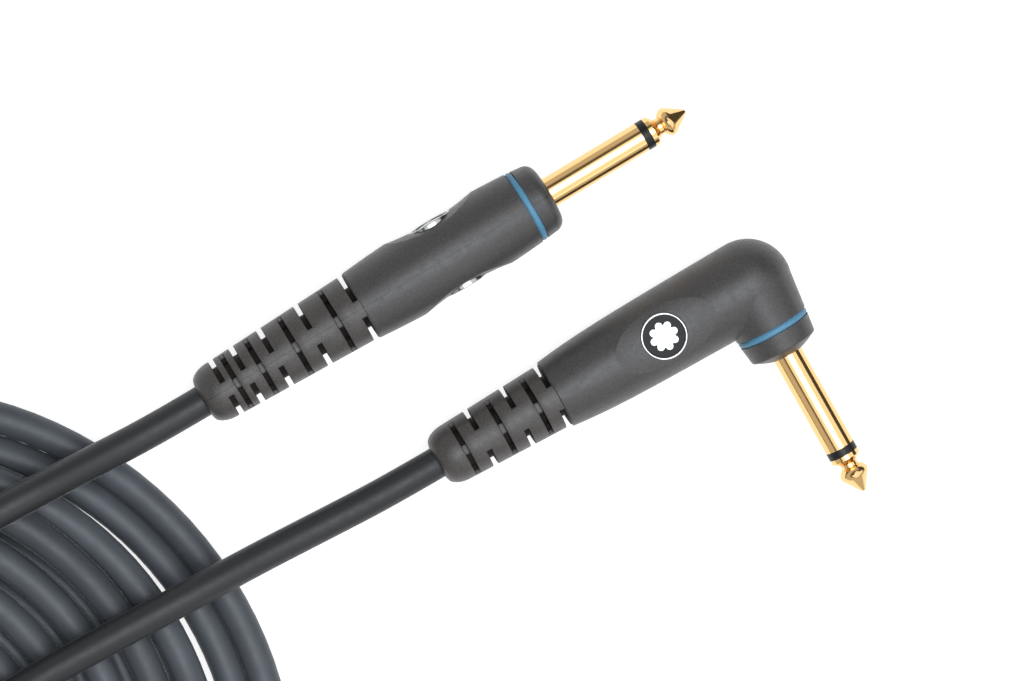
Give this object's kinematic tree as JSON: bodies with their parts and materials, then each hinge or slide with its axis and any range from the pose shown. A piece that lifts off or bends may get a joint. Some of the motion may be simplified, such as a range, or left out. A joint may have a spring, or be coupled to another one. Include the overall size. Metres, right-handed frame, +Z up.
{
  "type": "instrument cable",
  "caption": "Coiled shielded instrument cable with a straight jack plug and a right-angle jack plug, slotted strain reliefs and gold-plated contacts.",
  "frame": {"origin": "on the floor, under the middle of the box round the two plugs, which lie side by side", "axes": "+Z up from the floor, +X from the coil towards the plugs, +Y from the right-angle plug towards the straight plug"},
  "size_m": [0.285, 0.1831, 0.0222],
  "materials": {
    "housing": "fine-grained matte",
    "boot": "matte, flexible",
    "jacket": "satin",
    "gold_plate": "polished gold plate",
    "black_ring": "satin",
    "blue_ring": "satin",
    "badge_chrome": "polished",
    "badge_black": "gloss",
    "white_insulator": "satin",
    "tinned_brass": "tinned",
    "copper": "bare strands",
    "solder": "bright"
  },
  "bodies": {
    "cable": {"coil": "jacket", "straight_lead": "jacket", "angle_lead": "jacket"},
    "straight_plug": {"straight_shell_left": "housing", "straight_shell_right": "housing", "straight_barrel": "gold_plate", "straight_tip": "gold_plate", "straight_tip_ring": "black_ring", "straight_insulator": "white_insulator", "straight_rear_washer": "white_insulator", "straight_ground_lug": "tinned_brass", "straight_tip_lug": "tinned_brass", "straight_solder": "solder", "straight_nose_collar": "housing", "straight_colour_ring": "blue_ring", "straight_boot": "boot", "straight_badge_bezels": "badge_chrome", "straight_badge_discs": "badge_black", "straight_badge_bosses": "badge_chrome", "straight_jacket_end": "jacket", "straight_shield": "copper", "straight_core_insulation": "white_insulator", "straight_conductor": "copper"},
    "angle_plug": {"angle_shell_upper": "housing", "angle_shell_lower": "housing", "angle_barrel": "gold_plate", "angle_tip": "gold_plate", "angle_tip_ring": "black_ring", "angle_insulator": "white_insulator", "angle_rear_washer": "white_insulator", "angle_ground_lug": "tinned_brass", "angle_tip_lug": "tinned_brass", "angle_solder": "solder", "angle_nose_collar": "housing", "angle_colour_ring": "blue_ring", "angle_boot": "boot", "angle_badge_bezels": "badge_chrome", "angle_badge_discs": "badge_black", "angle_badge_bosses": "badge_chrome", "angle_jacket_end": "jacket", "angle_shield": "copper", "angle_core_insulation": "white_insulator", "angle_conductor": "copper"}
  },
  "joints": [
    {"name": "straight_boot_flex", "type": "hinge", "parent": "cable", "child": "straight_plug", "pos_m": [-0.03687, 0.04822, 0.0086], "axis": [-0.2622, -0.965, 0], "range_deg": [0, 30], "stiffness_Nm_per_rad": 0.3, "deforming": ["straight_boot", "straight_jacket_end"]},
    {"name": "angle_boot_flex", "type": "hinge", "parent": "cable", "child": "angle_plug", "pos_m": [-0.01775, 0.00593, 0.00915], "axis": [-0.2815, -0.9596, 0], "range_deg": [0, 30], "stiffness_Nm_per_rad": 0.3, "deforming": ["angle_boot", "angle_jacket_end"]}
  ]
}
